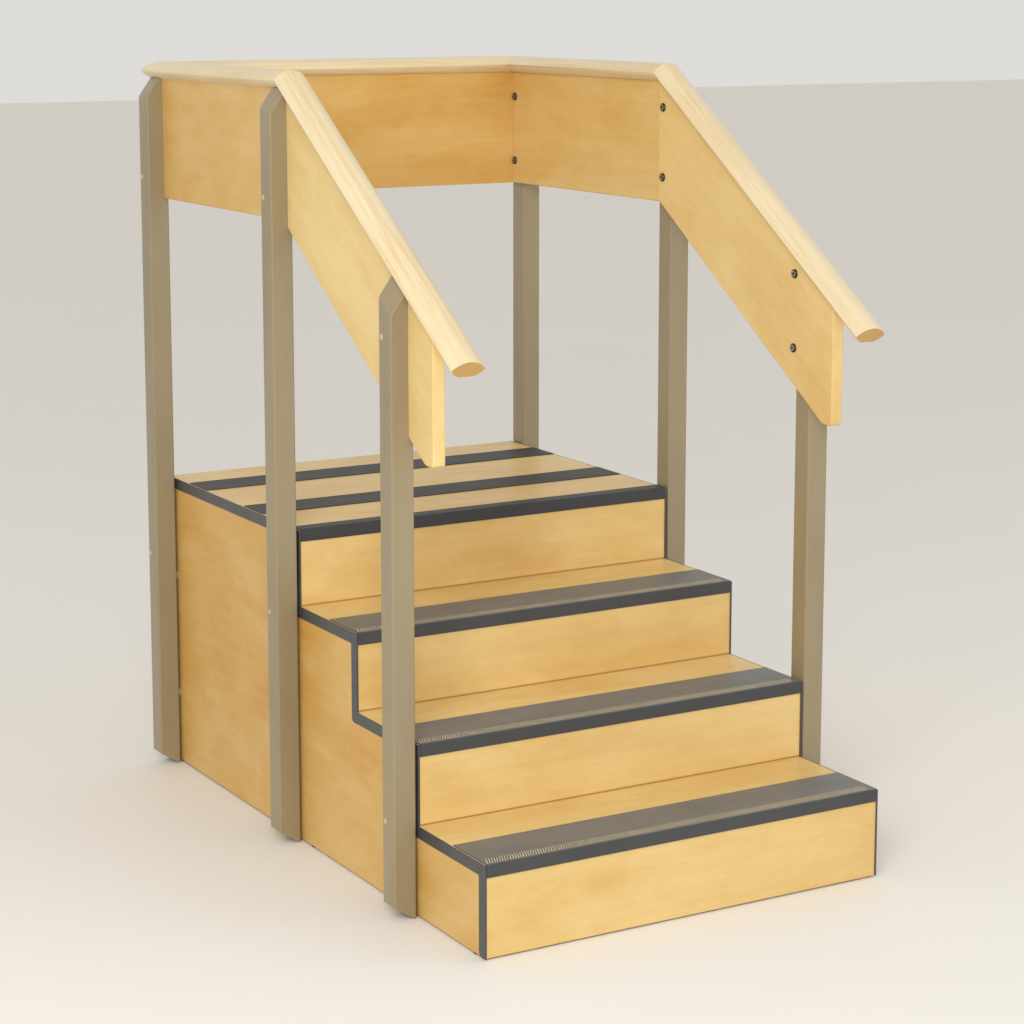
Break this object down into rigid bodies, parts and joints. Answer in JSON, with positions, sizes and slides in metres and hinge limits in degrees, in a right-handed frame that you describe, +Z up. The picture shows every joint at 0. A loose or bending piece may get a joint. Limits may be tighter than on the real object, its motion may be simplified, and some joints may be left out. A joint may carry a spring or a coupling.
{
  "type": "training stairs with platform and handrails",
  "caption": "Wooden training stairs: low treads with anti-slip nosings rise to a platform, with guard panels and a handrail on posts along both sides and the back.",
  "frame": {"origin": "on the floor, under the middle of the object's whole box", "axes": "+Z up, +Y from the lowest tread towards the platform, +X to the right of a person climbing"},
  "size_m": [0.917, 1.351, 1.4555],
  "materials": {
    "maple_laminate": "satin lacquer",
    "rail_maple": "satin lacquer",
    "plain_hardwood": "unfinished",
    "post_taupe": "satin paint",
    "vinyl_charcoal": "matt, fine grain",
    "edge_band": "satin",
    "bolt_bronze": "dark bronze",
    "plated_steel": "zinc plated",
    "glide_nylon": "matt"
  },
  "bodies": {
    "root": {"back_panel": "maple_laminate", "body_bolts": "bolt_bronze", "centre_stringer": "maple_laminate", "corner_trim_left_1": "edge_band", "corner_trim_left_2": "edge_band", "corner_trim_left_3": "edge_band", "corner_trim_left_4": "edge_band", "corner_trim_right_1": "edge_band", "corner_trim_right_2": "edge_band", "corner_trim_right_3": "edge_band", "corner_trim_right_4": "edge_band", "edge_trim_left_1": "edge_band", "edge_trim_left_2": "edge_band", "edge_trim_left_3": "edge_band", "edge_trim_left_4": "edge_band", "edge_trim_right_1": "edge_band", "edge_trim_right_2": "edge_band", "edge_trim_right_3": "edge_band", "edge_trim_right_4": "edge_band", "floor_glides": "glide_nylon", "guard_back": "maple_laminate", "guard_bolts": "bolt_bronze", "guard_left_level": "maple_laminate", "guard_left_slope": "maple_laminate", "guard_right_level": "maple_laminate", "guard_right_slope": "maple_laminate", "platform_cleats": "plain_hardwood", "platform_nosing": "vinyl_charcoal", "platform_strip_middle": "vinyl_charcoal", "platform_strip_rear": "vinyl_charcoal", "platform_top": "maple_laminate", "post_inserts": "plated_steel", "post_left_front": "post_taupe", "post_left_middle": "post_taupe", "post_left_rear": "post_taupe", "post_plugs": "plain_hardwood", "post_right_front": "post_taupe", "post_right_middle": "post_taupe", "post_right_rear": "post_taupe", "post_screws": "plated_steel", "post_spacers": "glide_nylon", "rail_back": "rail_maple", "rail_dowels": "plain_hardwood", "rail_left_level": "rail_maple", "rail_left_slope": "rail_maple", "rail_right_level": "rail_maple", "rail_right_slope": "rail_maple", "riser_1": "maple_laminate", "riser_2": "maple_laminate", "riser_3": "maple_laminate", "riser_4": "maple_laminate", "side_panel_left": "maple_laminate", "side_panel_right": "maple_laminate", "tread_1": "maple_laminate", "tread_2": "maple_laminate", "tread_3": "maple_laminate", "tread_cleats": "plain_hardwood", "tread_nosing_1": "vinyl_charcoal", "tread_nosing_2": "vinyl_charcoal", "tread_nosing_3": "vinyl_charcoal"}
  },
  "joints": []
}
